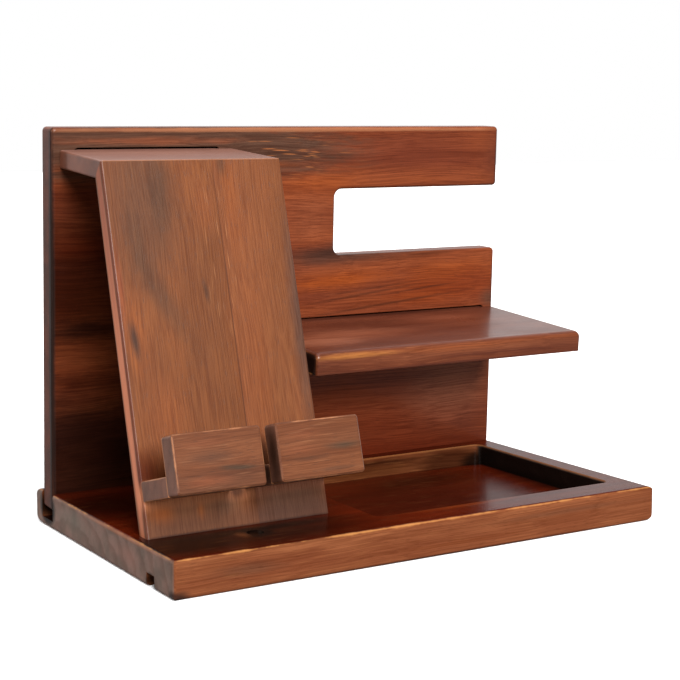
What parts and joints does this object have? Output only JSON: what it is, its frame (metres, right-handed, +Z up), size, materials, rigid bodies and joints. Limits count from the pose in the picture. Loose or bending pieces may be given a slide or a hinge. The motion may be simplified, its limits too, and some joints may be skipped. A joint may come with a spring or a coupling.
{
  "type": "charging station organizer",
  "caption": "Wooden desk organizer: grooved base with a sunk tray, upright back panel with a side slot, plugged-in shelf, and a sloping phone stand with two small lipped ledges.",
  "frame": {"origin": "middle of the base board's underside, at the bottom centre of the whole part's box", "axes": "+X to the right along the base's length, +Y to the back, +Z up"},
  "size_m": [0.302, 0.1824, 0.224],
  "materials": {
    "base_board": "stained wood, semi-gloss oil finish",
    "back_panel": "stained wood, semi-gloss oil finish",
    "accessory_shelf": "stained wood, semi-gloss oil finish",
    "phone_bridge": "stained wood, semi-gloss oil finish",
    "rest_plate_left_stave": "stained wood, semi-gloss oil finish",
    "rest_plate_right_stave": "stained wood, semi-gloss oil finish",
    "left_ledge": "stained wood, semi-gloss oil finish",
    "right_ledge": "stained wood, semi-gloss oil finish",
    "left_lip": "stained wood, semi-gloss oil finish",
    "right_lip": "stained wood, semi-gloss oil finish",
    "mitre_dowels": "plain beech",
    "ledge_dowels": "plain beech",
    "lip_dowels": "plain beech"
  },
  "bodies": {
    "base": {"base_board": "base_board"},
    "panel": {"back_panel": "back_panel"},
    "shelf": {"accessory_shelf": "accessory_shelf"},
    "phone_stand": {"phone_bridge": "phone_bridge", "rest_plate_left_stave": "rest_plate_left_stave", "rest_plate_right_stave": "rest_plate_right_stave", "left_ledge": "left_ledge", "right_ledge": "right_ledge", "left_lip": "left_lip", "right_lip": "right_lip", "mitre_dowels": "mitre_dowels", "ledge_dowels": "ledge_dowels", "lip_dowels": "lip_dowels"}
  },
  "joints": [
    {"name": "panel_lift", "type": "slide", "parent": "base", "child": "panel", "axis": [0, 0, 1], "range_m": [0, 0.04]},
    {"name": "shelf_pull", "type": "slide", "parent": "panel", "child": "shelf", "axis": [0, -1, 0], "range_m": [0, 0.03]},
    {"name": "stand_pull", "type": "slide", "parent": "panel", "child": "phone_stand", "axis": [0, -1, 0], "range_m": [0, 0.03]}
  ]
}
